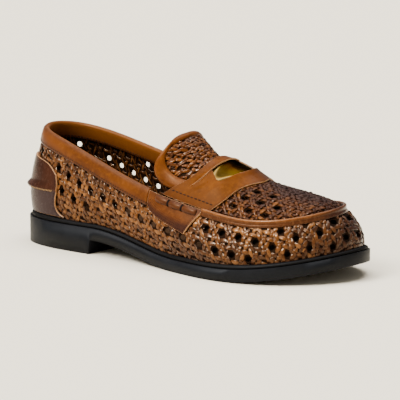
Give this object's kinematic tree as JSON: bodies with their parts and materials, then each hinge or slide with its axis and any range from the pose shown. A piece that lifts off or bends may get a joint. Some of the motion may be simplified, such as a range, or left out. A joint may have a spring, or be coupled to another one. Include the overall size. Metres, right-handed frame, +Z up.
{
  "type": "woven leather loafer",
  "caption": "Low slip-on loafer with an open-weave leather upper, apron toe, slotted saddle with a plain plate, rolled saddle ends, bound collar and a plain moulded rubber sole with a low heel.",
  "frame": {"origin": "middle of the shoe's bounding box in plan, at the floor it stands on", "axes": "+X to the toe, +Y to the inner side of the foot, -Y to the outer side, +Z up"},
  "size_m": [0.2687, 0.0978, 0.0867],
  "materials": {
    "sole_rubber": "matt moulded rubber, near black",
    "welt_leather": "dark dyed edge, satin",
    "insole_leather": "smooth tan, satin",
    "woven_leather": "cognac strands, burnished, glossy",
    "burnished_leather": "burnished brown, glossy",
    "trim_leather": "smooth tan calf, semi-gloss",
    "plate_metal": "pale gold plate, polished, plain"
  },
  "bodies": {
    "root": {"outsole": "sole_rubber", "welt": "welt_leather", "insole": "insole_leather", "upper": "woven_leather", "heel_counter": "burnished_leather", "collar_binding": "trim_leather", "apron_seam": "trim_leather", "wing_outer": "trim_leather", "wing_inner": "trim_leather", "beef_roll_outer": "burnished_leather", "beef_roll_inner": "burnished_leather", "saddle": "trim_leather", "saddle_plate": "plate_metal", "tongue": "woven_leather", "tongue_binding": "trim_leather"}
  },
  "joints": []
}
